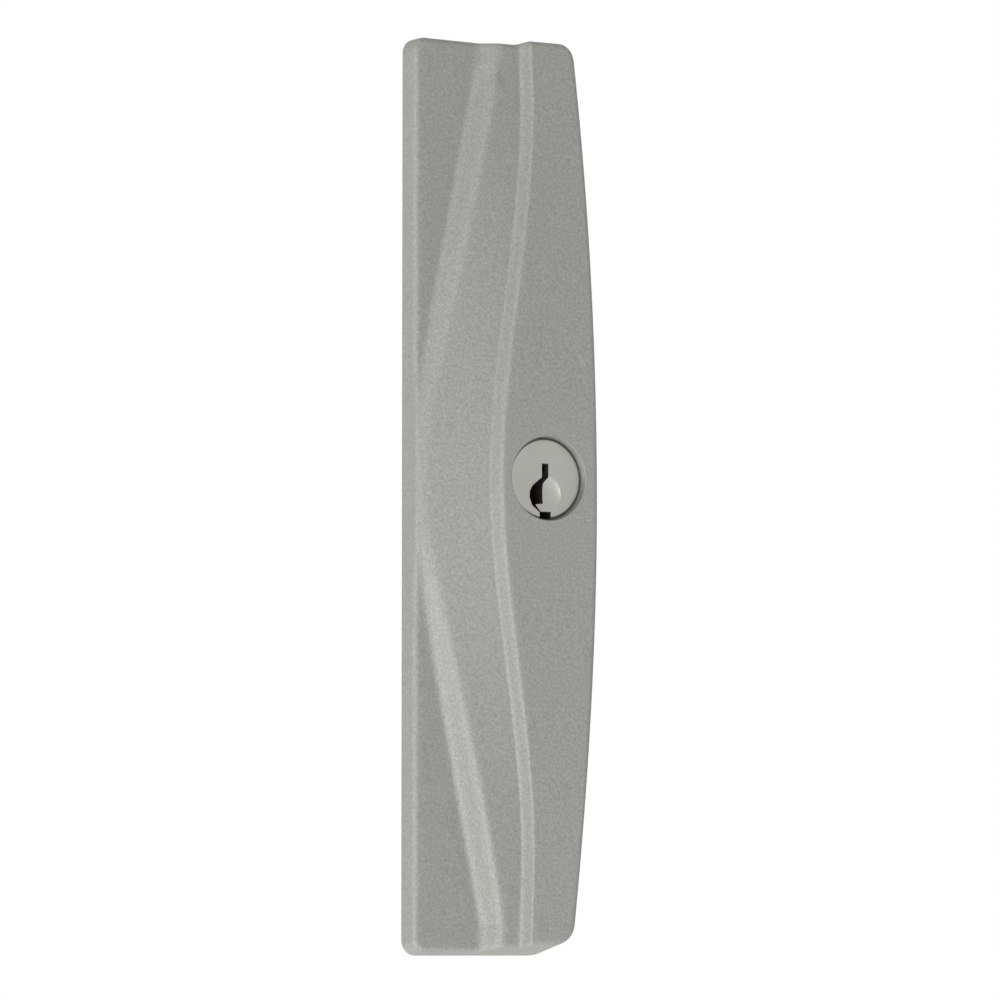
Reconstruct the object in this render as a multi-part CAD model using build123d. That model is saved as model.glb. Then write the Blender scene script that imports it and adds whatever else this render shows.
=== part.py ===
from build123d import *
import math
import os

# Sliding patio door lock, outside half: a die-cast pull with a keyed pin cylinder behind it.
# Frame: X to the right and Z up as seen from outside, +Y into the door, millimetres.
# The origin lies on the back plane, at mid length, on the line of the cylinder and the fixings.

# Pull casting, outline on the back plane
PULL_LENGTH = 145.0
CYLINDER_FROM_LEFT = 20.7
PULL_WIDTH_AT_ENDS = 27.3
RIGHT_EDGE_BOW = 3.3
LEFT_CORNER_ROUND = 2.8
RIGHT_CORNER_ROUND = 4.4
SMALLEST_CORNER_ROUND = 0.8
SIDE_DRAFT = 6.5
TOP_DRAFT = 2.0
BOTTOM_DRAFT = 12.0
PULL_WALL = 2.0

# Pull casting, heights of the front above the back plane
LEFT_FLAT_HEIGHT = 3.6
LEDGE_HEIGHT_AT_MIDDLE = 4.9
LEDGE_HEIGHT_AT_ENDS = 5.1
CREST_FOOT_AT_MIDDLE = 7.6
CREST_FOOT_AT_ENDS = 5.3
FACE_HEIGHT_AT_MIDDLE = 10.4
FACE_BOW = 2.4
FRONT_EDGE_ROUND = 1.0

# Riser line, between the left flat and the finger scoop, from the left edge
RISER_AT_MIDDLE = 1.1
RISER_SPREAD = 0.197
RISER_BEND_AT = 8.7
RISER_BEND_LENGTH = 16.0
RISER_RUN_AT_MIDDLE = 2.7
RISER_RUN_AT_ENDS = 4.2
RISER_ROUND = 2.0

# Crest line, between the finger scoop and the flat face, from the left edge
CREST_AT_MIDDLE = 13.0
CREST_SPREAD = 5.9
CREST_BELL_HALF_LENGTH = 60.0
CREST_RUN = 1.8
CREST_FOOT_ROUND = 1.2
CREST_ROUND = 2.2

# Past this distance from the cylinder, both lines run parallel to the edges
LINES_RUN_STRAIGHT_FROM = 70.0

# Sections that the front is lofted through, and the stations along each of them
SECTION_COUNT = 25
STATION_COUNT = 28
FORM_OVERRUN = 2.0

# How far cutting tools reach past what they cut, and how level a normal is on a side face
CUT_OVERRUN = 1.0
SIDE_FACE_LIMIT = 0.3

# Cylinder, measured from its own axis
CYLINDER_RISE = 2.5
PLUG_DIAMETER = 12.9
PLUG_RECESS = 1.2
PLUG_EDGE_BREAK = 0.35
CASTING_BORE_CLEARANCE = 0.1
RUNNING_CLEARANCE = 0.05
CYLINDER_BOSS_WALL = 2.2
SHELL_WALL = 2.0
SHELL_BEHIND_LAST_PIN = 3.4
SHELL_CHAMFER = 0.5
HULL_HEIGHT = 16.5
HULL_WIDTH = 7.4
HULL_ROUND = 1.2

# Shell flange and its two screws
FLANGE_THICKNESS = 2.5
FLANGE_WIDTH = 11.0
UPPER_SCREW_RISE = 20.5
LOWER_SCREW_DROP = 13.0
SCREW_DIAMETER = 3.0
SCREW_LENGTH = 7.0
SCREW_HEAD_DIAMETER = 5.4
SCREW_HEAD_HEIGHT = 1.9
SCREW_SOCKET_WIDTH = 2.0
SCREW_SOCKET_DEPTH = 1.1
SCREW_BOSS_DIAMETER = 7.0
SCREW_CLEARANCE = 0.1
SCREW_HOLE_BEYOND_TIP = 1.0
SCREW_TIP_CHAMFER = 0.4
SCREW_HEAD_ROUND = 0.6

# Pin stacks
PIN_PITCH = 3.8
FIRST_PIN_Y = 3.4
PIN_DIAMETER = 2.9
KEY_PIN_LENGTHS = (4.2, 5.4, 4.8, 6.0, 5.1)
KEY_PIN_TIP = 0.9
KEY_PIN_BELOW_SHEAR = 0.1
DRIVER_PIN_LENGTH = 4.4
PIN_CHAMFER = 0.25
CHAMBER_FLOOR = -0.4
COVER_THICKNESS = 1.0
COVER_WIDTH = 4.4
COVER_GAP = 0.05
COVER_BELOW_CROWN = 0.4
COVER_INTO_FLANGE = 1.0
COVER_EDGE_BREAK = 0.2
SPRING_WIRE = 0.36
SPRING_DIAMETER = 2.5
SPRING_TURNS = 6
SPRING_SEAT_GAP = 0.05

# Keyway, across the plug face and from the plug axis
KEYWAY_SLOT_HALF = 0.58
KEYWAY_TOP = 2.42
KEYWAY_FOOT = -6.9
KEYWAY_FOOT_HALF = 1.0
KEYWAY_CHANNEL_LEFT = 2.8
KEYWAY_END_WALL = 1.5
DIMPLE_DROP = 2.45
DIMPLE_RADIUS = 2.85
DIMPLE_DEPTH = 0.7

# Rear of the plug
CLIP_THICKNESS = 0.8
CLIP_DIAMETER = 14.6
CLIP_GAP_WIDTH = 5.0
CLIP_FROM_SHELL = 0.1
NECK_DIAMETER = 10.6
CLIP_GROOVE_DEPTH = 0.7
NECK_BEHIND_CLIP = 3.4
TAIL_WIDTH = 5.2
TAIL_THICKNESS = 1.8
TAIL_REACH = 31.5
TAIL_TONGUE = 4.2
TAIL_SLOT_CLEARANCE = 0.05
TAIL_PIN_DIAMETER = 1.5
TAIL_PIN_BELOW_NECK = 0.2
TAIL_TIP_ROUND = 1.0

# Fixing posts for the door screws
FIXING_SPACING = 114.0
POST_DIAMETER = 8.5
POST_REACH = 10.0
POST_TAPER = 1.0
POST_ROOT_DIAMETER = 10.5
FIXING_CORE_DIAMETER = 4.3
FIXING_DEPTH = 15.0
FIXING_LEAD_IN = 0.6

# Ribs inside the casting
RIB_THICKNESS = 1.6
RIB_RECESS = 0.6
RIB_HEIGHTS = (-37.0, 41.0)

LEFT_X = -CYLINDER_FROM_LEFT
SCREW_HOLE_END = FLANGE_THICKNESS - SCREW_LENGTH - SCREW_HOLE_BEYOND_TIP
PIN_COUNT = len(KEY_PIN_LENGTHS)
SHELL_LENGTH = FIRST_PIN_Y + PIN_PITCH * (PIN_COUNT - 1) + SHELL_BEHIND_LAST_PIN
HALF_LENGTH = PULL_LENGTH / 2
SHEAR_RADIUS = PLUG_DIAMETER / 2
CHAMBER_DIAMETER = PIN_DIAMETER + 2 * RUNNING_CLEARANCE
SHELL_BORE = PLUG_DIAMETER + 2 * RUNNING_CLEARANCE
SHELL_RADIUS = SHELL_BORE / 2 + SHELL_WALL
CASTING_BORE = PLUG_DIAMETER + 2 * CASTING_BORE_CLEARANCE
BLOCK_DEPTH = FACE_HEIGHT_AT_MIDDLE + 2.5


def smooth_step(t):
    """Rise from 0 to 1 with level ends."""
    t = min(max(t, 0.0), 1.0)
    return t * t * (3 - 2 * t)


def soft_ramp(t, rounding):
    """Zero and then a slope of 1, with the bend rounded over a length."""
    if t <= -rounding / 2:
        return 0.0
    if t >= rounding / 2:
        return t
    return (t + rounding / 2) ** 2 / (2 * rounding)


def from_cylinder(z):
    """Distance along the pull, up to where the two lines run straight out."""
    return min(abs(z - CYLINDER_RISE), LINES_RUN_STRAIGHT_FROM)


def toward_ends(z):
    """0 beside the cylinder and 1 where the crest line runs out straight."""
    return smooth_step(from_cylinder(z) / CREST_BELL_HALF_LENGTH)


def riser_x(z):
    bend = soft_ramp(from_cylinder(z) - RISER_BEND_AT, RISER_BEND_LENGTH)
    return LEFT_X + RISER_AT_MIDDLE + RISER_SPREAD * bend


def crest_x(z):
    return LEFT_X + CREST_AT_MIDDLE + CREST_SPREAD * toward_ends(z)


def face_height(z):
    return FACE_HEIGHT_AT_MIDDLE - FACE_BOW * (z / HALF_LENGTH) ** 2


def along_pull(z, at_middle, at_ends):
    """A size that changes from its value beside the cylinder to its value at the ends."""
    return at_middle + (at_ends - at_middle) * toward_ends(z)


def front_corners(z):
    """The four bends across the front: foot and top of the riser, foot and top of the crest."""
    riser = riser_x(z)
    crest = crest_x(z)
    half_run = along_pull(z, RISER_RUN_AT_MIDDLE, RISER_RUN_AT_ENDS) / 2
    ledge = along_pull(z, LEDGE_HEIGHT_AT_MIDDLE, LEDGE_HEIGHT_AT_ENDS)
    crest_foot = along_pull(z, CREST_FOOT_AT_MIDDLE, CREST_FOOT_AT_ENDS)
    return [
        (riser - half_run, LEFT_FLAT_HEIGHT, RISER_ROUND),
        (riser + half_run, ledge, RISER_ROUND),
        (crest - CREST_RUN, crest_foot, CREST_FOOT_ROUND),
        (crest, face_height(z), CREST_ROUND),
    ]


def front_height(x, z):
    """Height of the front: straight runs between the four bends, each bend rounded."""
    corners = front_corners(z)
    slopes = [0.0]
    for (x0, h0, _), (x1, h1, _) in zip(corners, corners[1:]):
        slopes.append((h1 - h0) / (x1 - x0))
    slopes.append(0.0)
    height = LEFT_FLAT_HEIGHT
    for (corner, _, rounding), before, after in zip(corners, slopes, slopes[1:]):
        height += (after - before) * soft_ramp(x - corner, rounding)
    return height


def front_section(z, inset):
    """Closed section of the casting at one height, lowered by the inset."""
    left = LEFT_X - FORM_OVERRUN
    right = LEFT_X + PULL_WIDTH_AT_ENDS + RIGHT_EDGE_BOW + FORM_OVERRUN
    steps = [index / (STATION_COUNT - 1) for index in range(STATION_COUNT)]
    line = []
    for step in steps:
        x = left + (right - left) * step
        line.append((x, inset - front_height(x, z)))
    front = Edge.make_spline(line, parameters=steps)
    back = Polyline(line[-1], (right, FORM_OVERRUN), (left, FORM_OVERRUN), line[0])
    return Plane.XY.offset(z) * make_face(Curve() + [front] + back)


def front_form(inset):
    reach = HALF_LENGTH + FORM_OVERRUN
    spacing = 2 * reach / (SECTION_COUNT - 1)
    heights = [-reach + spacing * index for index in range(SECTION_COUNT)]
    return loft([front_section(z, inset) for z in heights])


def outline_plan(inset, height):
    """Outline of the casting at a height above the back plane, its sides leaning in by their drafts."""
    side = inset + height * math.tan(math.radians(SIDE_DRAFT))
    top = HALF_LENGTH - inset - height * math.tan(math.radians(TOP_DRAFT))
    bottom = inset + height * math.tan(math.radians(BOTTOM_DRAFT)) - HALF_LENGTH
    left = LEFT_X + side
    right = LEFT_X + PULL_WIDTH_AT_ENDS - side
    middle = (top + bottom) / 2
    sides = Polyline((right, top), (left, top), (left, bottom), (right, bottom))
    bow = ThreePointArc((right, bottom), (right + RIGHT_EDGE_BOW, middle), (right, top))
    plan = make_face(sides + bow)
    corners = plan.vertices().sort_by(Axis.X)
    plan = fillet(corners[:2], max(LEFT_CORNER_ROUND - side, SMALLEST_CORNER_ROUND))
    corners = plan.vertices().sort_by(Axis.X)
    plan = fillet(corners[-2:], max(RIGHT_CORNER_ROUND - side, SMALLEST_CORNER_ROUND))
    return Plane.XZ.offset(height) * plan


def outline_block(inset, behind):
    """The drafted block of the outline, from behind the back plane to past the front."""
    return loft([outline_plan(inset, -behind), outline_plan(inset, BLOCK_DEPTH)], ruled=True)


def rod(diameter, start, end, x=0.0, z=0.0):
    """A round bar along Y between two places."""
    circle = Plane.XZ.offset(-start) * Pos(x, z) * Circle(diameter / 2)
    return extrude(circle, amount=start - end)


def solid_casting():
    """The outside of the casting, its front edge rounded all the way round."""
    casting = front_form(0.0) & outline_block(0.0, 0.0)
    front = casting.faces().filter_by(lambda face: face.normal_at().Y < -SIDE_FACE_LIMIT)
    sides = casting.faces().filter_by(lambda face: abs(face.normal_at().Y) < SIDE_FACE_LIMIT)
    side_edges = sides.edges()
    rim = [edge for edge in front.edges() if edge in side_edges]
    return fillet(rim, FRONT_EDGE_ROUND)


def screw_places():
    """Heights of the two flange screws, the upper one clear of the pin hull."""
    return (CYLINDER_RISE + UPPER_SCREW_RISE, CYLINDER_RISE - LOWER_SCREW_DROP)


def fixing_places():
    return (FIXING_SPACING / 2, -FIXING_SPACING / 2)


def rib(z, outer):
    """A cross rib from wall to wall, a little short of the back plane."""
    width = PULL_WIDTH_AT_ENDS + RIGHT_EDGE_BOW
    plate = Pos(LEFT_X + width / 2, -BLOCK_DEPTH / 2 - RIB_RECESS, z) * Box(width, BLOCK_DEPTH, RIB_THICKNESS)
    return plate & outer


def post(z):
    """A fixing post that reaches from inside the casting into the door."""
    shank = rod(POST_DIAMETER, PULL_WALL - face_height(z), POST_REACH, z=z)
    tip = shank.faces().sort_by(Axis.Y)[-1]
    return chamfer(tip.edges(), POST_TAPER)


def fixing_hole(z):
    """Blind core hole for the thread of a door screw, with a lead-in at its mouth."""
    hole = rod(FIXING_CORE_DIAMETER, POST_REACH - FIXING_DEPTH, POST_REACH, z=z)
    mouth = Plane.XZ.offset(-POST_REACH) * Pos(0, z) * Circle(FIXING_CORE_DIAMETER / 2 + FIXING_LEAD_IN)
    return hole + extrude(mouth, amount=FIXING_LEAD_IN, taper=45)


def make_pull_body():
    """The die casting: an even wall behind the front, with bosses, ribs and two posts."""
    outer = solid_casting()
    hollow = front_form(PULL_WALL) & outline_block(PULL_WALL, CUT_OVERRUN)
    body = outer - hollow
    boss = rod(CASTING_BORE + 2 * CYLINDER_BOSS_WALL, -BLOCK_DEPTH, 0.0, z=CYLINDER_RISE)
    body += boss & outer
    for z in screw_places():
        body += rod(SCREW_BOSS_DIAMETER, -BLOCK_DEPTH, 0.0, z=z) & outer
    for z in RIB_HEIGHTS:
        body += rib(z, outer)
    for z in fixing_places():
        body += rod(POST_ROOT_DIAMETER, -BLOCK_DEPTH, -RIB_RECESS, z=z) & outer
        body += post(z)
    body -= rod(CASTING_BORE, -2 * BLOCK_DEPTH, CUT_OVERRUN, z=CYLINDER_RISE)
    for z in screw_places():
        body -= rod(SCREW_DIAMETER + SCREW_CLEARANCE, SCREW_HOLE_END, CUT_OVERRUN, z=z)
    for z in fixing_places():
        body -= fixing_hole(z)
    return body


def pin_places():
    return [FIRST_PIN_Y + PIN_PITCH * index for index in range(PIN_COUNT)]


def upright_rod(diameter, y, bottom, top):
    """A round bar along Z, with heights taken from the cylinder axis."""
    circle = Plane.XY.offset(CYLINDER_RISE + bottom) * Pos(0, y) * Circle(diameter / 2)
    return extrude(circle, amount=top - bottom)


def cylinder_chambers(bottom, top):
    return [upright_rod(CHAMBER_DIAMETER, y, bottom, top) for y in pin_places()]


def cover_bottom():
    return HULL_HEIGHT - COVER_THICKNESS - COVER_BELOW_CROWN


def make_cylinder_shell():
    """Barrel, pin hull and screw flange in one piece, bored for the plug and the pins."""
    barrel = rod(2 * SHELL_RADIUS, 0.0, SHELL_LENGTH, z=CYLINDER_RISE)
    hull_outline = Plane.XZ * Pos(0, CYLINDER_RISE + HULL_HEIGHT / 2) * Rectangle(HULL_WIDTH, HULL_HEIGHT)
    hull = extrude(hull_outline, amount=-SHELL_LENGTH)
    crown = hull.edges().filter_by(Axis.Y).sort_by(Axis.Z)[-2:]
    hull = fillet(crown, HULL_ROUND)
    body = barrel + hull
    rear = body.faces().sort_by(Axis.Y)[-1]
    body = chamfer(rear.outer_wire().edges(), SHELL_CHAMFER)
    middle = (sum(screw_places())) / 2
    span = UPPER_SCREW_RISE + LOWER_SCREW_DROP + FLANGE_WIDTH
    flange = extrude(Plane.XZ * Pos(0, middle) * SlotOverall(span, FLANGE_WIDTH, 90), amount=-FLANGE_THICKNESS)
    body += flange
    body -= rod(SHELL_BORE, -CUT_OVERRUN, SHELL_LENGTH + CUT_OVERRUN, z=CYLINDER_RISE)
    for chamber in cylinder_chambers(0.0, cover_bottom() + COVER_THICKNESS / 2):
        body -= chamber
    groove_start = FLANGE_THICKNESS - COVER_INTO_FLANGE
    groove_length = SHELL_LENGTH - groove_start + CUT_OVERRUN
    groove = Pos(0, groove_start + groove_length / 2, CYLINDER_RISE + cover_bottom() + COVER_THICKNESS / 2)
    body -= groove * Box(COVER_WIDTH + 2 * COVER_GAP, groove_length, COVER_THICKNESS)
    for z in screw_places():
        body -= rod(SCREW_DIAMETER + 2 * SCREW_CLEARANCE, -CUT_OVERRUN, FLANGE_THICKNESS + CUT_OVERRUN, z=z)
    return body


def make_chamber_cover():
    """Brass slide that closes the five chambers, pushed in from the rear."""
    start = FLANGE_THICKNESS - COVER_INTO_FLANGE
    length = SHELL_LENGTH - start
    strip = Pos(0, start + length / 2, CYLINDER_RISE + cover_bottom() + COVER_THICKNESS / 2)
    cover = strip * Box(COVER_WIDTH, length, COVER_THICKNESS)
    ends = cover.edges().filter_by(Axis.X)
    return chamfer(ends, COVER_EDGE_BREAK)


def make_screw(z):
    """Pan-head screw with a hexagon socket, its head on the back of the flange."""
    shank = rod(SCREW_DIAMETER - SCREW_CLEARANCE, FLANGE_THICKNESS - SCREW_LENGTH, FLANGE_THICKNESS, z=z)
    tip = shank.faces().sort_by(Axis.Y)[0]
    shank = chamfer(tip.edges(), SCREW_TIP_CHAMFER)
    head = rod(SCREW_HEAD_DIAMETER, FLANGE_THICKNESS, FLANGE_THICKNESS + SCREW_HEAD_HEIGHT, z=z)
    crown = head.faces().sort_by(Axis.Y)[-1]
    head = fillet(crown.edges(), SCREW_HEAD_ROUND)
    socket = Plane.XZ.offset(-FLANGE_THICKNESS - SCREW_HEAD_HEIGHT) * Pos(0, z)
    socket = extrude(socket * RegularPolygon(SCREW_SOCKET_WIDTH / 2, 6, major_radius=False), amount=SCREW_SOCKET_DEPTH)
    return shank + head - socket


def plug_face_y():
    return PLUG_RECESS - face_height(CYLINDER_RISE)


def clip_start_y():
    return SHELL_LENGTH + CLIP_FROM_SHELL


def plug_end_y():
    return clip_start_y() + CLIP_THICKNESS + CLIP_FROM_SHELL + NECK_BEHIND_CLIP


def keyway():
    """Cross-section of the key, cut along the whole plug and open at its foot."""
    slot = KEYWAY_SLOT_HALF
    foot = KEYWAY_FOOT_HALF
    wide = -KEYWAY_CHANNEL_LEFT
    outline = Polyline(
        (-slot, KEYWAY_TOP),
        (slot, KEYWAY_TOP),
        (slot, 0.25),
        (-0.15, -0.75),
        (-0.1, -3.9),
        (-1.6, -4.1),
        (-0.85, -5.2),
        (foot, -5.2),
        (foot, KEYWAY_FOOT),
        (-foot, KEYWAY_FOOT),
        (-foot, -5.35),
        (wide + 0.45, -4.25),
        (wide, -3.1),
        (wide + 0.1, -2.0),
        (wide + 0.65, -1.1),
        (-slot, 0.2),
        close=True,
    )
    profile = Plane.XZ.offset(KEYWAY_END_WALL - SHELL_LENGTH) * Pos(0, CYLINDER_RISE) * make_face(outline)
    return extrude(profile, amount=SHELL_LENGTH - KEYWAY_END_WALL - plug_face_y() + CUT_OVERRUN)


def make_cylinder_plug():
    """Turned plug with its keyway, key dimple, five pin chambers, clip groove and tail slot."""
    barrel = rod(PLUG_DIAMETER, plug_face_y(), SHELL_LENGTH, z=CYLINDER_RISE)
    face = barrel.faces().sort_by(Axis.Y)[0]
    barrel = chamfer(face.edges(), PLUG_EDGE_BREAK)
    plug = barrel + rod(NECK_DIAMETER, SHELL_LENGTH, plug_end_y(), z=CYLINDER_RISE)
    groove_end = clip_start_y() + CLIP_THICKNESS + CLIP_FROM_SHELL
    ring = rod(PLUG_DIAMETER, SHELL_LENGTH, groove_end, z=CYLINDER_RISE)
    ring -= rod(NECK_DIAMETER - 2 * CLIP_GROOVE_DEPTH, SHELL_LENGTH, groove_end, z=CYLINDER_RISE)
    plug -= ring
    ball = (DIMPLE_RADIUS**2 + DIMPLE_DEPTH**2) / (2 * DIMPLE_DEPTH)
    plug -= Pos(0, plug_face_y() + DIMPLE_DEPTH - ball, CYLINDER_RISE - DIMPLE_DROP) * Sphere(ball)
    plug -= keyway()
    for chamber in cylinder_chambers(CHAMBER_FLOOR, SHEAR_RADIUS + CUT_OVERRUN):
        plug -= chamber
    slot_depth = TAIL_TONGUE + TAIL_SLOT_CLEARANCE
    slot = Pos(0, plug_end_y() - slot_depth + PLUG_DIAMETER / 2, CYLINDER_RISE)
    slot_width = TAIL_THICKNESS + 2 * TAIL_SLOT_CLEARANCE
    plug -= slot * Box(PLUG_DIAMETER, PLUG_DIAMETER, slot_width)
    plug -= tail_pin_bar(TAIL_PIN_DIAMETER + 2 * TAIL_SLOT_CLEARANCE, PLUG_DIAMETER)
    return plug


def tail_pin_bar(diameter, length):
    """Bar along Z through the neck and the tongue of the tail."""
    y = plug_end_y() - NECK_BEHIND_CLIP / 2
    circle = Plane.XY.offset(CYLINDER_RISE - length / 2) * Pos(0, y) * Circle(diameter / 2)
    return extrude(circle, amount=length)


def make_tail_pin():
    return tail_pin_bar(TAIL_PIN_DIAMETER, NECK_DIAMETER - 2 * TAIL_PIN_BELOW_NECK)


def make_tailpiece():
    """Flat bar that turns the mechanism inside the door."""
    start = plug_end_y() - TAIL_TONGUE
    length = TAIL_REACH - start
    bar = Pos(0, start + length / 2, CYLINDER_RISE) * Box(TAIL_WIDTH, length, TAIL_THICKNESS)
    tip = bar.edges().filter_by(Axis.Z).sort_by(Axis.Y)[-2:]
    bar = fillet(tip, TAIL_TIP_ROUND)
    return bar - tail_pin_bar(TAIL_PIN_DIAMETER + 2 * TAIL_SLOT_CLEARANCE, PLUG_DIAMETER)


def make_plug_clip():
    """Open spring ring in the groove behind the shell."""
    start = clip_start_y()
    ring = rod(CLIP_DIAMETER, start, start + CLIP_THICKNESS, z=CYLINDER_RISE)
    inner = NECK_DIAMETER - 2 * CLIP_GROOVE_DEPTH + 2 * RUNNING_CLEARANCE
    ring -= rod(inner, start - CUT_OVERRUN, start + CLIP_THICKNESS + CUT_OVERRUN, z=CYLINDER_RISE)
    gap = Pos(0, start, CYLINDER_RISE - CLIP_DIAMETER / 2)
    return ring - gap * Box(CLIP_GAP_WIDTH, 4 * CLIP_THICKNESS, CLIP_DIAMETER)


def make_key_pin(y, length):
    """Bottom pin with a blunt cone for the key, its flat top just under the shear line."""
    top = SHEAR_RADIUS - KEY_PIN_BELOW_SHEAR
    pin = upright_rod(PIN_DIAMETER, y, top - length, top)
    foot = pin.faces().sort_by(Axis.Z)[0]
    pin = chamfer(foot.edges(), KEY_PIN_TIP)
    crown = pin.faces().sort_by(Axis.Z)[-1]
    return chamfer(crown.edges(), PIN_CHAMFER)


def driver_pin_bottom():
    return SHEAR_RADIUS + KEY_PIN_BELOW_SHEAR


def make_driver_pin(y):
    """Spool-shaped top pin."""
    bottom = driver_pin_bottom()
    pin = upright_rod(PIN_DIAMETER, y, bottom, bottom + DRIVER_PIN_LENGTH)
    return chamfer(pin.edges().filter_by(GeomType.CIRCLE), PIN_CHAMFER)


def make_driver_spring(y):
    """Coil spring between a driver pin and the chamber cover."""
    bottom = CYLINDER_RISE + driver_pin_bottom() + DRIVER_PIN_LENGTH + SPRING_SEAT_GAP + SPRING_WIRE / 2
    top = CYLINDER_RISE + cover_bottom() - SPRING_SEAT_GAP - SPRING_WIRE / 2
    radius = (SPRING_DIAMETER - SPRING_WIRE) / 2
    coil = Helix((top - bottom) / SPRING_TURNS, top - bottom, radius, center=(0, y, bottom))
    start = Plane(origin=coil @ 0, z_dir=coil % 0)
    return sweep(start * RegularPolygon(SPRING_WIRE / 2, 6), path=coil, is_frenet=True)


def make_parts():
    """Every piece of the lock by name."""
    parts = {
        "pull_body": make_pull_body(),
        "cylinder_shell": make_cylinder_shell(),
        "chamber_cover": make_chamber_cover(),
        "cylinder_plug": make_cylinder_plug(),
        "plug_clip": make_plug_clip(),
        "tailpiece": make_tailpiece(),
        "tail_pin": make_tail_pin(),
    }
    for name, z in zip(("shell_screw_upper", "shell_screw_lower"), screw_places()):
        parts[name] = make_screw(z)
    for index, y in enumerate(pin_places()):
        number = index + 1
        parts[f"key_pin_{number}"] = make_key_pin(y, KEY_PIN_LENGTHS[index])
        parts[f"driver_pin_{number}"] = make_driver_pin(y)
        parts[f"driver_spring_{number}"] = make_driver_spring(y)
    return parts


os.makedirs("parts", exist_ok=True)
for name, solid in make_parts().items():
    export_step(solid, f"parts/{name}.step")
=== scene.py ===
# %% [markdown]
# # A keyed pull for a sliding patio door
# This file dresses a CAD model of a door lock: a pearl-grey die casting that a hand pulls on, with
# a pin cylinder behind it. The CAD model is loaded first and never moves. Each new piece is made in
# its place, in metres, and rides on one of the CAD model's bodies.

import math

import bmesh
import bpy
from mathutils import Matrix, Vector


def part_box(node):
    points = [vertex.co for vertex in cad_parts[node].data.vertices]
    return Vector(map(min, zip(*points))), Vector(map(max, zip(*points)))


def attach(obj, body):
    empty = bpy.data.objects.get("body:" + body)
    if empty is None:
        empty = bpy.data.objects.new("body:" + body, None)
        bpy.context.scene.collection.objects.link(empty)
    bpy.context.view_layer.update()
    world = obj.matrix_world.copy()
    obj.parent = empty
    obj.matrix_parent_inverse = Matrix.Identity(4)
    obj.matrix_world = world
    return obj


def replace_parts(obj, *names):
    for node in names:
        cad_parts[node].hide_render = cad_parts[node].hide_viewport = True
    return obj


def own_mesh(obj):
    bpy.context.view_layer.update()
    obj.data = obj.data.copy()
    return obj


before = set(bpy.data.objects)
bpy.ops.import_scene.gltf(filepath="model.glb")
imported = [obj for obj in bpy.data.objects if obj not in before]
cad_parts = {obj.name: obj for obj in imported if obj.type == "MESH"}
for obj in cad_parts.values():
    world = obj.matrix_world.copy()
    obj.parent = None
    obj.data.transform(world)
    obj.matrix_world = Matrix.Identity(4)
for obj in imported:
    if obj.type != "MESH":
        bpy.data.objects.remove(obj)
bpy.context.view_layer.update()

# %% [markdown]
# ## The camera
# The photograph was taken from the lock's left with a long lens, level with its lower end. So the
# camera stands 0.85 m away, low and to the left, and looks up a little at the middle of the pull.

# %% Camera
CAMERA_AZIMUTH = math.radians(-28.6)
CAMERA_RISE = math.radians(-4.8)
CAMERA_DISTANCE = 0.85
LOOK_AT = Vector((-0.0031, 0.0, -0.0003))
LENS = 192.4

back = Vector((
    math.sin(CAMERA_AZIMUTH) * math.cos(CAMERA_RISE),
    -math.cos(CAMERA_AZIMUTH) * math.cos(CAMERA_RISE),
    math.sin(CAMERA_RISE),
))
camera = bpy.data.objects.new("camera", bpy.data.cameras.new("camera"))
bpy.context.scene.collection.objects.link(camera)
camera.location = LOOK_AT + back * CAMERA_DISTANCE
camera.rotation_euler = back.to_track_quat("Z", "Y").to_euler()
camera.data.lens = LENS
camera.data.sensor_width = 36.0
camera.data.clip_start = 0.01
bpy.context.scene.camera = camera
print("camera at", tuple(round(value, 3) for value in camera.location))

# %% [markdown]
# ## The studio
# The lock hangs in the air over a pale floor, before a white background. One large soft lamp stands
# at the left and below it, a weak one right under it, and one behind it for the back views. The
# background is full white to the camera only: its reflections and its light are weaker.

# %% Studio
FLOOR_DEPTH = -1.20
FLOOR_SIZE = 6.0
WHITE = (1.0, 1.0, 1.0, 1.0)
WORLD_FILL = 0.50
WORLD_IN_GLOSS = 0.80


def soft_lamp(name, place, size, power):
    """A square area lamp that faces the middle of the lock."""
    lamp = bpy.data.objects.new(name, bpy.data.lights.new(name, "AREA"))
    bpy.context.scene.collection.objects.link(lamp)
    lamp.location = place
    lamp.rotation_euler = Vector(place).to_track_quat("Z", "Y").to_euler()
    lamp.data.size = size
    lamp.data.energy = power
    lamp.visible_camera = False


def mixed_background(tree, seen, mirrored, lit):
    """One strength for the camera, one for reflections, and one for the light that it sheds."""
    path = tree.nodes.new("ShaderNodeLightPath")
    strength = None
    levels = {"Is Glossy Ray": mirrored, "Is Transmission Ray": seen, "Is Camera Ray": seen}
    for ray, level in levels.items():
        mix = tree.nodes.new("ShaderNodeMix")
        mix.inputs["A"].default_value = lit
        mix.inputs["B"].default_value = level
        tree.links.new(path.outputs[ray], mix.inputs["Factor"])
        if strength:
            tree.links.new(strength, mix.inputs["A"])
        strength = mix.outputs["Result"]
    return strength


world = bpy.data.worlds.new("studio")
bpy.context.scene.world = world
world.use_nodes = True
shade = world.node_tree.nodes["Background"]
shade.inputs["Color"].default_value = WHITE
world_strength = mixed_background(world.node_tree, 1.0, WORLD_IN_GLOSS, WORLD_FILL)
world.node_tree.links.new(world_strength, shade.inputs["Strength"])

soft_lamp("key_from_left", (-1.42, -0.96, -0.54), 1.7, 30.5)
soft_lamp("low_fill", (-0.10, -0.16, -0.60), 0.3, 0.9)
soft_lamp("back_fill", (0.9, 1.3, 0.5), 0.8, 9.0)

bpy.context.scene.view_settings.view_transform = "Standard"

# %% [markdown]
# ## Writing materials as sums
# A shader graph is easier to read as arithmetic. `Socket` wraps the output of a node, and each
# Python operator on it adds a Math node. `Finish` is a material in the making: `node` adds any
# other node, and `wear` plugs values into the Principled shader.


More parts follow.
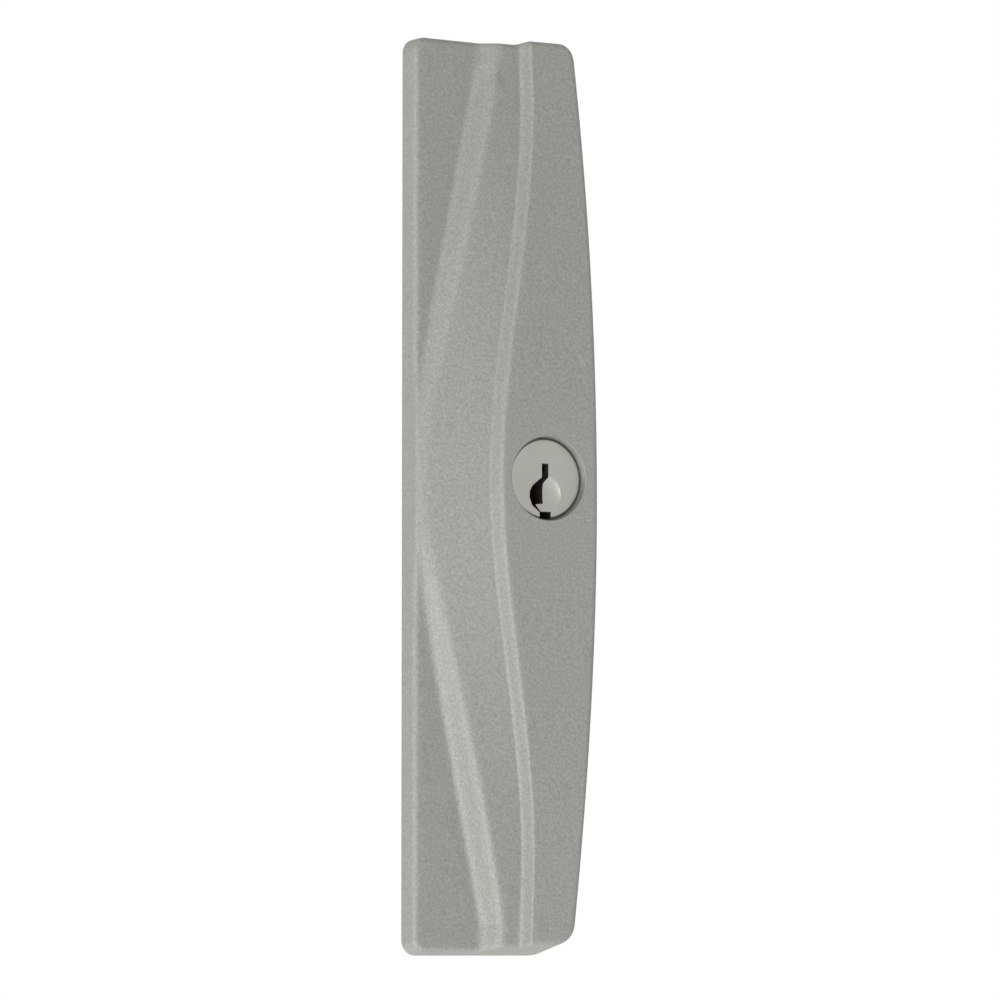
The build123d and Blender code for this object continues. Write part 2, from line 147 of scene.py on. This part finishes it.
# %% Sockets and finishes
PLUG_AXIS_Z = 0.0025


class Socket:
    """The output of a shader node, which takes part in Python sums."""

    def __init__(self, finish, output):
        self.finish = finish
        self.output = output

    def sum_with(self, operation, *values):
        return self.finish.math(operation, *values)

    def __add__(self, other):
        return self.sum_with("ADD", self, other)

    def __radd__(self, other):
        return self.sum_with("ADD", other, self)

    def __sub__(self, other):
        return self.sum_with("SUBTRACT", self, other)

    def __rsub__(self, other):
        return self.sum_with("SUBTRACT", other, self)

    def __mul__(self, other):
        return self.sum_with("MULTIPLY", self, other)

    def __rmul__(self, other):
        return self.sum_with("MULTIPLY", other, self)

    def __pow__(self, other):
        return self.sum_with("POWER", self, other)

    def __rpow__(self, other):
        return self.sum_with("POWER", other, self)


class Finish:
    """A material that is built up node by node around one Principled shader."""

    def __init__(self, name, **sockets):
        self.material = bpy.data.materials.new(name)
        self.material.use_nodes = True
        self.tree = self.material.node_tree
        self.shader = self.tree.nodes["Principled BSDF"]
        for socket, value in sockets.items():
            self.shader.inputs[socket.replace("_", " ")].default_value = value

    def plug(self, target, value):
        """Link a socket, or write a plain number or colour."""
        if isinstance(value, Socket):
            self.tree.links.new(value.output, target)
        else:
            target.default_value = value

    def node(self, kind, settings=None, values=None, output=0):
        """Any node, by its type, its settings, and the values or links of its sockets."""
        made = self.tree.nodes.new(kind)
        for name, value in (settings or {}).items():
            setattr(made, name, value)
        for name, value in (values or {}).items():
            self.plug(made.inputs[name], value)
        return Socket(self, made.outputs[output])

    def wear(self, **values):
        """Plug values into the shader's sockets, with an underscore for each space."""
        for name, value in values.items():
            self.plug(self.shader.inputs[name.replace("_", " ")], value)

    def place(self):
        """Where a point is in its piece, in metres."""
        return self.node("ShaderNodeTexCoord", output="Object")

    def noise(self, scale, detail):
        """Even noise with a grain of about 1/scale metres."""
        values = {"Vector": self.place(), "Scale": scale, "Detail": detail}
        return self.node("ShaderNodeTexNoise", {"noise_dimensions": "3D"}, values)

    def between(self, factor, low, high):
        """A colour that goes from low to high with a factor. Sockets 6, 7 and 2 carry colours."""
        values = {"Factor": factor, 6: low, 7: high}
        return self.node("ShaderNodeMix", {"data_type": "RGBA"}, values, output=2)

    def math(self, operation, *values):
        """A Math node, by the name of its operation."""
        return self.node("ShaderNodeMath", {"operation": operation}, dict(enumerate(values)))

    def distance_from_plug_axis(self):
        """How far a point is from the line that the plug turns about, in metres."""
        across = self.node("ShaderNodeSeparateXYZ", {}, {"Vector": self.place()})
        upward = Socket(self, across.output.node.outputs["Z"]) - PLUG_AXIS_Z
        return (across * across + upward * upward) ** 0.5

    def bump(self, height, distance):
        """A normal that is tilted by a height, of so many metres at its most."""
        return self.node("ShaderNodeBump", {}, {"Height": height, "Distance": distance})


def srgb(red, green, blue):
    """A colour as read off a screen, 0 to 255, in the linear values that shaders use."""
    linear = []
    for value in (red, green, blue):
        value /= 255
        linear.append(value / 12.92 if value <= 0.04045 else ((value + 0.055) / 1.055) ** 2.4)
    return (*linear, 1.0)


print("mid grey", [round(value, 3) for value in srgb(154, 155, 150)])

# %% [markdown]
# ## The powder coat
# The casting is powder coated in a pearl grey. A powder coat isn't perfectly even: it melts into a
# fine orange peel, under a millimetre across, and tiny flakes of mica in it make the grey sparkle a
# little. The colour itself drifts only slightly along the pull. The wall of the plug's opening gets
# painted shade: a darker, partly metallic grey that stands in for the shadow in that recess.

# %% Powder coat
BORE_EDGE = 0.00668
FLAKE_CONTRAST = 2.2
PEEL_DEPTH = 0.00006

powder_coat = Finish("powder_coat", Metallic=0.0)
drift = powder_coat.noise(28.0, 2.0)
flake = powder_coat.noise(2700.0, 1.0)
peel = powder_coat.noise(1500.0, 2.0)
dull = powder_coat.between(drift, srgb(137, 138, 133), srgb(141, 142, 137))
bright = powder_coat.between(drift, srgb(158, 159, 154), srgb(162, 163, 158))
coat = powder_coat.between((flake - 0.5) * FLAKE_CONTRAST + 0.5, dull, bright)
# Painted shade: inside the plug's opening the wall gets a darker, partly metallic grey for the shadow
# there.
opening_wall_shade = powder_coat.math("LESS_THAN", powder_coat.distance_from_plug_axis(), BORE_EDGE)
powder_coat.wear(
    Base_Color=powder_coat.between(opening_wall_shade, coat, srgb(136, 136, 132)),
    Metallic=opening_wall_shade * 0.6,
    Roughness=peel * 0.12 + 0.42,
    Normal=powder_coat.bump(peel, PEEL_DEPTH),
)
print("powder coat has", len(powder_coat.tree.nodes), "nodes")

# %% [markdown]
# ## Bare metals
# The plug is nickel plated and turned, the shell, its cover and the pins are brass, and the other
# small parts are steel. Each of them gets a faint unevenness in colour and roughness, and the plug
# has the fine rings of a lathe round its axis.


# %% Metals
def turned_metal(name, colour, dark, roughness, ring_pitch):
    """A metal with the rings that a lathe leaves, round the plug's axis."""
    finish = Finish(name, Metallic=1.0)
    wave = finish.math("SINE", finish.distance_from_plug_axis() * (2 * math.pi / ring_pitch))
    grain = finish.noise(900.0, 3.0)
    cloud = finish.noise(160.0, 2.0)
    finish.wear(
        Base_Color=finish.between(cloud, dark, colour),
        Roughness=grain * 0.16 + (roughness - 0.08),
        Normal=finish.bump(wave * 0.5 + grain, 0.000004),
    )
    return finish


def cast_metal(name, colour, dark, roughness, grain_scale=1400.0):
    """A plain metal with a fine even grain."""
    finish = Finish(name, Metallic=1.0)
    grain = finish.noise(grain_scale, 3.0)
    cloud = finish.noise(120.0, 2.0)
    finish.wear(
        Base_Color=finish.between(cloud, dark, colour),
        Roughness=grain * 0.18 + (roughness - 0.09),
        Normal=finish.bump(grain, 0.000006),
    )
    return finish


plug_nickel = turned_metal("plug_nickel", srgb(196, 196, 190), srgb(180, 180, 174), 0.36, 0.00022)
shell_brass = cast_metal("shell_brass", srgb(201, 170, 104), srgb(184, 150, 86), 0.40)
cover_brass = cast_metal("cover_brass", srgb(208, 178, 112), srgb(190, 158, 94), 0.32)
pin_brass = cast_metal("pin_brass", srgb(214, 184, 116), srgb(196, 164, 98), 0.28)
spring_steel = cast_metal("spring_steel", srgb(176, 178, 180), srgb(150, 152, 156), 0.30, 4000.0)
plated_steel = cast_metal("plated_steel", srgb(190, 190, 186), srgb(166, 167, 165), 0.34)
print("finishes", sorted(item.name for item in bpy.data.materials))

# %% [markdown]
# ## Finishing the CAD pieces
# Most of the cylinder's parts are plain turned and milled metal, and their CAD shapes are already
# right. They keep their meshes and only get their finishes. The casting and the springs are made
# anew below, and their CAD pieces give way to them.

# %% Materials of the CAD pieces
NODE_FINISHES = {
    "pull_body": powder_coat,
    "cylinder_shell": shell_brass,
    "chamber_cover": cover_brass,
    "shell_screw_upper": plated_steel,
    "shell_screw_lower": plated_steel,
    "cylinder_plug": plug_nickel,
    "plug_clip": spring_steel,
    "tailpiece": plated_steel,
    "tail_pin": plated_steel,
}
for number in range(1, 6):
    NODE_FINISHES[f"key_pin_{number}"] = pin_brass
    NODE_FINISHES[f"driver_pin_{number}"] = pin_brass
    NODE_FINISHES[f"driver_spring_{number}"] = spring_steel

for node_name, finish in NODE_FINISHES.items():
    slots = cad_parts[node_name].data.materials
    if len(slots) == 0:
        slots.append(finish.material)
    for index in range(len(slots)):
        slots[index] = finish.material
print("CAD pieces finished:", len(NODE_FINISHES))

# %% [markdown]
# ## The pull's casting
# The casting is one swept skin: a flat at the left, a steep riser, the ledge of the finger scoop,
# a crest and a flat face. The riser and the crest are the two lines that bow round the cylinder. It
# is easiest to lay a grid round the outline as a sheet, from the back edge up the drafted side, over
# the rounded rim and in to the middle line, and to work out the height of each of its points. Outline
# and heights are the CAD model's. The riser and the crest are crisper than there, and the ledge is
# higher, as the photograph shows them. The wall comes from a second, smaller skin.

# %% Sizes of the casting, in millimetres
MM = 0.001
LEFT_X = -20.7
HALF_LENGTH = 72.5
END_WIDTH = 27.3
RIGHT_BOW = 3.3
LEFT_CORNER = 2.4
TOP_RIGHT_CORNER = 3.2
BOTTOM_RIGHT_CORNER = 5.0
SMALLEST_CORNER = 2.4
LEFT_DRAFT = math.tan(math.radians(6.5))
RIGHT_DRAFT = math.tan(math.radians(4.5))
LOW_RIGHT_DRAFT = math.tan(math.radians(6.5))
TOP_DRAFT = math.tan(math.radians(2.0))
TOP_LEDGE_DRAFT = math.tan(math.radians(4.5))
TOP_FACE_DRAFT = 0.0
BOTTOM_DRAFT = math.tan(math.radians(12.0))
RIM_ROUND = 1.0
WALL = 2.0
CYLINDER_RISE = 2.5
LINES_RUN_STRAIGHT_FROM = 70.0
FLAT_HEIGHT = 3.6
FLAT_SLOPE = -0.06
RISER_AT_MIDDLE = 1.0
RISER_BEND_AT = 8.7
RISER_BEND_LENGTH = 16.0
RISER_SPREAD = 0.208
FACE_HEIGHT = 10.4
FACE_BOW = 2.4
CREST_AT_MIDDLE = 12.45
CREST_STEP = 2.1
CREST_SWING = 6.35
CREST_BELL = 62.0
LEDGE_CLIMB = 3.5
LEDGE_BELL = 64.0
FINE_STEPS = 40


def smooth_step(t):
    """From 0 to 1 as t does, level at both ends."""
    t = min(max(t, 0.0), 1.0)
    return t * t * (3 - 2 * t)


def soft_ramp(t, rounding):
    """Zero, then a slope of 1, with a rounded bend between them."""
    if t <= -rounding / 2:
        return 0.0
    if t >= rounding / 2:
        return t
    return (t + rounding / 2) ** 2 / (2 * rounding)


def bends_across(z):
    """The four bends of the front at one height: place, height and rounding, in millimetres."""
    away = min(abs(z - CYLINDER_RISE), LINES_RUN_STRAIGHT_FROM)
    ends = smooth_step(away / LEDGE_BELL)
    bend = soft_ramp(away - RISER_BEND_AT, RISER_BEND_LENGTH)
    riser = LEFT_X + RISER_AT_MIDDLE + RISER_SPREAD * bend
    crest = LEFT_X + CREST_AT_MIDDLE + CREST_SWING * smooth_step(away / CREST_BELL)
    face = FACE_HEIGHT - FACE_BOW * (z / HALF_LENGTH) ** 2
    ledge = face - CREST_STEP - LEDGE_CLIMB * (1.0 - ends)
    return [
        (riser - 1.0, FLAT_HEIGHT + FLAT_SLOPE * (riser - 1.0 - LEFT_X), 1.8 - 0.4 * ends),
        (riser + 0.8, ledge, 1.8 - 0.4 * ends),
        (crest - 1.0 + 0.4 * ends, face - CREST_STEP - 0.1 * ends, 0.3 + 0.7 * ends),
        (crest - 0.1 + 0.05 * ends, face, 0.9 - 0.4 * ends),
    ]


def unequal_steps(start, end, count, marks):
    """Places from start to end, closer together near each mark: its place, reach and weight."""
    fine = FINE_STEPS * count
    totals = [0.0]
    for index in range(fine):
        x = start + (end - start) * (index + 0.5) / fine
        weight = 1.0
        for place, reach, extra in marks:
            weight += extra * math.exp(-((x - place) / reach) ** 2)
        totals.append(totals[-1] + weight)
    places = []
    index = 0
    for step in range(count + 1):
        wanted = totals[-1] * step / count
        while index < fine and totals[index + 1] < wanted:
            index += 1
        index = min(index, fine - 1)
        part = (wanted - totals[index]) / (totals[index + 1] - totals[index])
        places.append(start + (end - start) * (index + part) / fine)
    return places


def marks_at(z):
    """Where the sheet needs its points close together: the riser and the crest."""
    bends = bends_across(z)
    riser = (bends[0][0] + bends[1][0]) / 2
    crest = (bends[2][0] + bends[3][0]) / 2
    return [(riser, 2.5, 1.5), (crest, 0.6, 12.0)]


def front_height(x, z):
    """Height of the front above the back plane, in millimetres."""
    bends = bends_across(z)
    slopes = [FLAT_SLOPE]
    for (x0, h0, _), (x1, h1, _) in zip(bends, bends[1:]):
        slopes.append((h1 - h0) / (x1 - x0))
    slopes.append(0.0)
    height = bends[0][1] + FLAT_SLOPE * (x - bends[0][0])
    for (place, _, rounding), before, after in zip(bends, slopes, slopes[1:]):
        height += (after - before) * soft_ramp(x - place, rounding)
    return height


print("front height beside the plug", round(front_height(8.0, CYLINDER_RISE), 2), "mm")

# %% [markdown]
# The outline on the back plane is walked once round, with a short step through the corners and a
# longer one along the sides. Each stop keeps its place, the way inward, and the draft of its side.


# %% Outline of the casting
SIDE_STEPS = 150
END_STEPS = 36
CORNER_STEPS = 8
WALL_STEPS = 5
RIM_STEPS = 8
FRONT_STEPS = 48
MIDDLE_X = LEFT_X + 18.8
MIDDLE_HALF = HALF_LENGTH - 14.0


def top_draft(x):
    """Draft of the top end, which leans most over the ledge and stands upright over the face."""
    riser, _, _, crest = (bend[0] for bend in bends_across(HALF_LENGTH))
    ledge = smooth_step((x - riser + 2.0) / 3.0)
    face = smooth_step((x - crest + 1.5) / 2.0)
    draft = TOP_DRAFT + (TOP_LEDGE_DRAFT - TOP_DRAFT) * ledge
    return draft + (TOP_FACE_DRAFT - TOP_LEDGE_DRAFT) * face


def outline_stops(inset):
    """Stops round the back outline: place, way inward, draft, and the end on the middle line."""
    half = HALF_LENGTH - inset
    left = LEFT_X + inset
    right = LEFT_X + END_WIDTH - inset
    left_round = max(LEFT_CORNER - inset, SMALLEST_CORNER)
    top_round = max(TOP_RIGHT_CORNER - inset, SMALLEST_CORNER)
    bottom_round = max(BOTTOM_RIGHT_CORNER - inset, SMALLEST_CORNER)
    bow_radius = (half**2 + RIGHT_BOW**2) / (2 * RIGHT_BOW)
    bow_x = right + RIGHT_BOW - bow_radius
    top_lean = math.asin((half - top_round) / (bow_radius - top_round))
    bottom_lean = math.asin((half - bottom_round) / (bow_radius - bottom_round))
    left_z = half - left_round
    inner_left = left + left_round
    top_right = bow_x + (bow_radius - top_round) * math.cos(top_lean)
    bottom_right = bow_x + (bow_radius - bottom_round) * math.cos(bottom_lean)
    stops = []

    def stop(x, z, turn, draft, middle_z):
        stops.append((x, z, -math.cos(turn), -math.sin(turn), draft, middle_z))

    def corner(x, z, radius, start, end, first_draft, last_draft, middle_z):
        for count in range(CORNER_STEPS + 1):
            share = count / CORNER_STEPS
            turn = start + (end - start) * share
            draft = first_draft + (last_draft - first_draft) * smooth_step(share)
            stop(x + radius * math.cos(turn), z + radius * math.sin(turn), turn, draft, middle_z)

    corner(inner_left, left_z, left_round, math.pi, math.pi / 2,
           LEFT_DRAFT, TOP_DRAFT, MIDDLE_HALF)
    for x in unequal_steps(inner_left, top_right, END_STEPS, marks_at(half))[1:-1]:
        stop(x, half, math.pi / 2, top_draft(x), MIDDLE_HALF)
    corner(top_right, half - top_round, top_round, math.pi / 2, top_lean,
           TOP_FACE_DRAFT, RIGHT_DRAFT, MIDDLE_HALF)
    for count in range(1, SIDE_STEPS):
        share = count / SIDE_STEPS
        turn = top_lean - (top_lean + bottom_lean) * share
        draft = RIGHT_DRAFT + (LOW_RIGHT_DRAFT - RIGHT_DRAFT) * smooth_step(2 * share - 1)
        stop(bow_x + bow_radius * math.cos(turn), bow_radius * math.sin(turn), turn, draft,
             MIDDLE_HALF * (1 - 2 * share))
    corner(bottom_right, bottom_round - half, bottom_round, -bottom_lean, -math.pi / 2,
           LOW_RIGHT_DRAFT, BOTTOM_DRAFT, -MIDDLE_HALF)
    for x in unequal_steps(bottom_right, inner_left, END_STEPS, marks_at(-half))[1:-1]:
        stop(x, -half, -math.pi / 2, BOTTOM_DRAFT, -MIDDLE_HALF)
    corner(inner_left, -left_z, left_round, -math.pi / 2, -math.pi,
           BOTTOM_DRAFT, LEFT_DRAFT, -MIDDLE_HALF)
    for count in range(1, SIDE_STEPS):
        share = 2 * count / SIDE_STEPS - 1
        stop(left, left_z * share, math.pi, LEFT_DRAFT, MIDDLE_HALF * share)
    return stops


print("stops round the outline", len(outline_stops(0.0)))

# %% [markdown]
# At each stop the sheet climbs the side, turns over the rim on a true arc, and then follows the
# front inward. The arc is found from the two straight lines that meet there, the side and the
# front, just as a fillet is drawn with a compass.


# %% Section from the back edge to the middle line
def section(stop, inset, rim_round, behind):
    """Points of one section, from the back edge over the rim to the middle line."""
    x, z, inward_x, inward_z, draft, middle_z = stop

    def height(distance):
        return front_height(x + inward_x * distance, z + inward_z * distance) - inset

    distance = 0.0
    for _ in range(8):
        distance = height(distance) * draft
    rim = Vector((distance, height(distance)))
    reach = 1.3 * rim_round
    along = Vector((reach, height(distance + reach) - rim.y)).normalized()
    down = Vector((-draft, -1.0)).normalized()
    half_angle = down.angle(along) / 2
    tangent = rim_round / math.tan(half_angle)
    centre = rim + (down + along).normalized() * (rim_round / math.sin(half_angle))
    first = rim + down * tangent - centre
    last = rim + along * tangent - centre
    line = []
    for index in range(WALL_STEPS):
        share = index / WALL_STEPS
        level = -behind + (first.y + centre.y + behind) * share
        line.append((level * draft, level))
    turn = first.angle_signed(last)
    for index in range(RIM_STEPS + 1):
        angle = turn * index / RIM_STEPS
        spoke = Vector((
            first.x * math.cos(angle) + first.y * math.sin(angle),
            -first.x * math.sin(angle) + first.y * math.cos(angle),
        ))
        line.append((centre.x + spoke.x, centre.y + spoke.y))
    points = [(x + inward_x * d, z + inward_z * d, h) for d, h in line]
    start_x, start_z, start_h = points[-1]
    slack = start_h - (front_height(start_x, start_z) - inset)
    for px in unequal_steps(start_x, MIDDLE_X, FRONT_STEPS, marks_at(middle_z))[1:]:
        share = (px - start_x) / (MIDDLE_X - start_x)
        pz = start_z + (middle_z - start_z) * share
        ease = max(1.0 - share * 8.0, 0.0) ** 2
        points.append((px, pz, front_height(px, pz) - inset + slack * ease))
    return points


print("points in a section", len(section(outline_stops(0.0)[0], 0.0, RIM_ROUND, 0.0)))

# %% [markdown]
# A grid primitive has the right net of faces already: its columns become the stops and its rows
# the points of each section. Once its points are placed, its two side edges are merged, the middle
# line is closed, and the open back is filled.


# %% Helpers for meshes
SAME_POINT = 1e-7


def only(piece):
    """Select one object alone and make it the active one."""
    bpy.ops.object.select_all(action="DESELECT")
    piece.select_set(True)
    bpy.context.view_layer.objects.active = piece


def apply_modifier(piece, kind, **settings):
    """Add a modifier, set it up and apply it."""
    only(piece)
    modifier = piece.modifiers.new(kind.lower(), kind)
    for name, value in settings.items():
        setattr(modifier, name, value)
    bpy.ops.object.modifier_apply(modifier=modifier.name)


def carve(piece, tool, operation="DIFFERENCE"):
    """Cut a tool out of a piece, or join it on, and throw the tool away."""
    apply_modifier(piece, "BOOLEAN", object=tool, operation=operation, solver="EXACT")
    bpy.data.objects.remove(tool, do_unlink=True)


def volume(piece):
    """The volume that a closed piece holds, in cubic millimetres."""
    shape = bmesh.new()
    shape.from_mesh(piece.data)
    held = shape.calc_volume(signed=True) / MM**3
    shape.free()
    return round(held)


def tidy_normals(piece):
    """Merge doubles and turn all faces outward."""
    only(piece)
    bpy.ops.object.mode_set(mode="EDIT")
    bpy.ops.mesh.select_all(action="SELECT")
    bpy.ops.mesh.remove_doubles(threshold=SAME_POINT)
    bpy.ops.mesh.normals_make_consistent(inside=False)
    bpy.ops.object.mode_set(mode="OBJECT")


def skin(name, inset, rim_round, behind):
    """A closed block in the shape of the casting, smaller all round by an inset."""
    stops = outline_stops(inset)
    sections = [section(stop, inset, rim_round, behind) for stop in stops]
    columns = len(stops)
    rows = len(sections[0])
    bpy.ops.object.select_all(action="DESELECT")
    bpy.ops.mesh.primitive_grid_add(x_subdivisions=rows - 1, y_subdivisions=columns, size=1.0)
    piece = bpy.context.object
    piece.name = name
    mesh = piece.data
    for index, vertex in enumerate(mesh.vertices):
        column, row = divmod(index, rows)
        x, z, h = sections[column % columns][row]
        vertex.co = (x * MM, -h * MM, z * MM)
    bpy.ops.object.mode_set(mode="EDIT")
    bpy.ops.mesh.select_all(action="SELECT")
    bpy.ops.mesh.remove_doubles(threshold=SAME_POINT)
    bpy.ops.mesh.select_all(action="DESELECT")
    bpy.ops.mesh.select_mode(type="EDGE")
    bpy.ops.mesh.select_non_manifold(extend=False, use_wire=False, use_multi_face=False,
                                     use_non_contiguous=False, use_verts=False)
    bpy.ops.mesh.edge_face_add()
    bpy.ops.mesh.select_mode(type="VERT")
    bpy.ops.object.mode_set(mode="OBJECT")
    tidy_normals(piece)
    return piece


casting = skin("pull_casting", 0.0, RIM_ROUND, 0.0)
print("casting skin:", len(casting.data.polygons), "faces, box",
      [round(value, 4) for value in casting.dimensions])

# %% [markdown]
# ## Hollow, bosses, ribs and posts
# A die casting has an even wall, so behind the front there is a hollow of the same shape, 2 mm
# smaller. Whatever stands in that hollow is cut out of the hollow first: the boss for the
# cylinder, two screw bosses, two ribs and the roots of the posts. What is left is then cut out of
# the casting in one go, and the posts are joined on behind it. Their tools run deeper than the
# hollow and past its open back.


# %% Round bars and plates
def turned_bar(name, profile, height, turns):
    """A turned shape along Y from a profile of (radius, y) pairs, in millimetres."""
    bpy.ops.object.select_all(action="DESELECT")
    first_radius, first_y = profile[0]
    bpy.ops.mesh.primitive_circle_add(vertices=turns, radius=first_radius * MM, fill_type="NGON",
                                      location=(0.0, first_y * MM, height * MM),
                                      rotation=(math.pi / 2, 0.0, 0.0))
    piece = bpy.context.object
    piece.name = name
    bpy.ops.object.transform_apply(location=True, rotation=True, scale=True)
    bpy.ops.object.mode_set(mode="EDIT")
    bpy.ops.mesh.select_all(action="SELECT")
    for (radius_before, y_before), (radius, y) in zip(profile, profile[1:]):
        step = (0.0, (y - y_before) * MM, 0.0)
        bpy.ops.mesh.extrude_region_move(TRANSFORM_OT_translate={"value": step})
        scale = radius / radius_before
        centre = (0.0, y * MM, height * MM)
        bpy.ops.transform.resize(value=(scale, 1.0, scale), center_override=centre)
    bpy.ops.object.mode_set(mode="OBJECT")
    tidy_normals(piece)
    return piece


def plate(name, low, high):
    """A flat-sided plate between two corners, in millimetres."""
    bpy.ops.object.select_all(action="DESELECT")
    middle = [(a + b) / 2 * MM for a, b in zip(low, high)]
    bpy.ops.mesh.primitive_cube_add(size=1.0, location=middle)
    piece = bpy.context.object
    piece.name = name
    piece.scale = [(b - a) * MM for a, b in zip(low, high)]
    bpy.ops.object.transform_apply(location=True, rotation=True, scale=True)
    return piece


# %% Hollow and posts
POST_HEIGHTS = (57.0, -57.0)
POST_RADIUS = 4.25
POST_TIP_RADIUS = 3.25
POST_ROOT_RADIUS = 5.25
POST_REACH = 10.0
POST_TAPER = 1.0
POST_INTO_WALL = 3.0
SCREW_HEIGHTS = (23.0, -10.5)
SCREW_BOSS_RADIUS = 3.5
CYLINDER_BOSS_RADIUS = 8.9
RIB_HEIGHTS = (-37.0, 41.0)
RIB_THICKNESS = 1.6
RIB_RECESS = 0.6
INNER_ROUND = 0.4
DEEP = -16.0


def boss(radius, height, back, turns):
    """A bar that leaves a boss in the hollow, from its floor to a place near the open back."""
    return turned_bar("boss", [(radius, DEEP), (radius, back)], height, turns)


hollow = skin("hollow", WALL, INNER_ROUND, 1.0)
carve(hollow, boss(CYLINDER_BOSS_RADIUS, CYLINDER_RISE, 0.0, 64))
for height in SCREW_HEIGHTS:
    carve(hollow, boss(SCREW_BOSS_RADIUS, height, 0.0, 40))
for height in RIB_HEIGHTS:
    low = (-30.0, DEEP, height - RIB_THICKNESS / 2)
    high = (20.0, -RIB_RECESS, height + RIB_THICKNESS / 2)
    carve(hollow, plate("rib", low, high))
for height in POST_HEIGHTS:
    carve(hollow, boss(POST_ROOT_RADIUS, height, -RIB_RECESS, 48))
print("hollow:", len(hollow.data.polygons), "faces,", volume(hollow), "cubic mm")

carve(casting, hollow)
post = [
    (POST_RADIUS, -POST_INTO_WALL),
    (POST_RADIUS, POST_REACH - POST_TAPER),
    (POST_TIP_RADIUS, POST_REACH),
]
for height in POST_HEIGHTS:
    carve(casting, turned_bar("post", post, height, 48), "UNION")
    print("casting with post at", height, ":", volume(casting), "cubic mm")

# %% [markdown]
# The front opening has a small broken edge, as the photograph shows by its thin pale ring. The
# posts are tapped for the screws that come through from inside the door, so each hole gets a lead-in
# and a stack of grooves that stand for its screw thread.

# %% Bores
OPENING_RADIUS = 6.55
OPENING_EDGE_RADIUS = 6.75
SCREW_HOLE_RADIUS = 1.55
SCREW_HOLE_DEPTH = 5.5
THREAD_CORE = 2.15
THREAD_GROOVE = 2.5
THREAD_PITCH = 0.8
THREAD_TURNS = 16

opening = [
    (OPENING_RADIUS, 1.0),
    (OPENING_RADIUS, -10.15),
    (OPENING_EDGE_RADIUS, -10.4),
    (OPENING_EDGE_RADIUS, -12.5),
]
carve(casting, turned_bar("front_opening", opening, CYLINDER_RISE, 96))
screw_hole = [(SCREW_HOLE_RADIUS, 1.0), (SCREW_HOLE_RADIUS, -SCREW_HOLE_DEPTH)]
for height in SCREW_HEIGHTS:
    carve(casting, turned_bar("screw_hole", screw_hole, height, 32))
thread = [(2.95, 10.2), (THREAD_GROOVE, 9.75)]
for turn in range(THREAD_TURNS):
    thread += [
        (THREAD_CORE, 9.35 - THREAD_PITCH * turn),
        (THREAD_GROOVE, 8.95 - THREAD_PITCH * turn),
    ]
thread += [(THREAD_CORE, -3.5), (THREAD_CORE, -5.0)]
for height in POST_HEIGHTS:
    carve(casting, turned_bar("tapped_hole", thread, height, 36))
print("casting bored:", len(casting.data.polygons), "faces,", volume(casting), "cubic mm")

# %% Finish the pull
only(casting)
bpy.ops.object.shade_smooth_by_angle(angle=math.radians(40))
casting.data.materials.append(powder_coat.material)

# %% [markdown]
# ## The driver springs
# A coil spring sits on each driver pin and gets shorter as the pin rises. Each CAD spring gives way
# to a coil made here: a small ring, wound upward into a wire by a Screw modifier, with its two ends
# closed.

# %% Driver springs
SPRING_WIRE = 0.36
SPRING_TURNS = 6


def coil_spring(name, low, high):
    """An upright coil of round wire that fills a box in metres."""
    radius = (high[0] - low[0] - SPRING_WIRE * MM) / 2
    rise = high[2] - low[2] - SPRING_WIRE * MM
    bpy.ops.object.select_all(action="DESELECT")
    bpy.ops.mesh.primitive_circle_add(vertices=8, radius=SPRING_WIRE * MM / 2,
                                      location=(radius, 0.0, 0.0),
                                      rotation=(math.pi / 2, 0.0, 0.0))
    coil = bpy.context.object
    coil.name = name
    bpy.ops.object.transform_apply(location=True, rotation=True, scale=True)
    apply_modifier(coil, "SCREW", angle=2 * math.pi, screw_offset=rise / SPRING_TURNS,
                   iterations=SPRING_TURNS, steps=24, render_steps=24)
    bpy.ops.object.mode_set(mode="EDIT")
    bpy.ops.mesh.select_all(action="SELECT")
    bpy.ops.mesh.fill_holes(sides=0)
    bpy.ops.object.mode_set(mode="OBJECT")
    tidy_normals(coil)
    foot = low[2] + SPRING_WIRE * MM / 2
    coil.location = ((low[0] + high[0]) / 2, (low[1] + high[1]) / 2, foot)
    bpy.ops.object.transform_apply(location=True, rotation=True, scale=True)
    bpy.ops.object.shade_smooth_by_angle(angle=math.radians(60))
    coil.data.materials.append(spring_steel.material)
    return coil


for number in range(1, 6):
    low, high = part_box(f"driver_spring_{number}")
    coil = coil_spring(f"spring_coil_{number}", low, high)
    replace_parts(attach(coil, "pull"), f"driver_spring_{number}")
    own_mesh(coil)

# %% [markdown]
# ## The floor
# The floor lies far below and glows a little, so that it joins the white background. Its glow is
# for the camera and for reflections, and sheds no light on the lock.

# %% Floor
bpy.ops.object.select_all(action="DESELECT")
bpy.ops.mesh.primitive_plane_add(size=FLOOR_SIZE, location=(0.0, 0.0, FLOOR_DEPTH))
floor = bpy.context.object
floor.name = "floor"
floor_paint = Finish("floor_paint", Base_Color=(0.84, 0.84, 0.83, 1.0), Roughness=0.9)
floor_paint.shader.inputs["Emission Color"].default_value = WHITE
floor_glow = mixed_background(floor_paint.tree, 0.62, 0.4, 0.0)
floor_paint.tree.links.new(floor_glow, floor_paint.shader.inputs["Emission Strength"])
floor.data.materials.append(floor_paint.material)
print("floor at", FLOOR_DEPTH, "m")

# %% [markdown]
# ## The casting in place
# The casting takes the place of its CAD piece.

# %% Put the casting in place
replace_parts(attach(casting, "pull"), "pull_body")
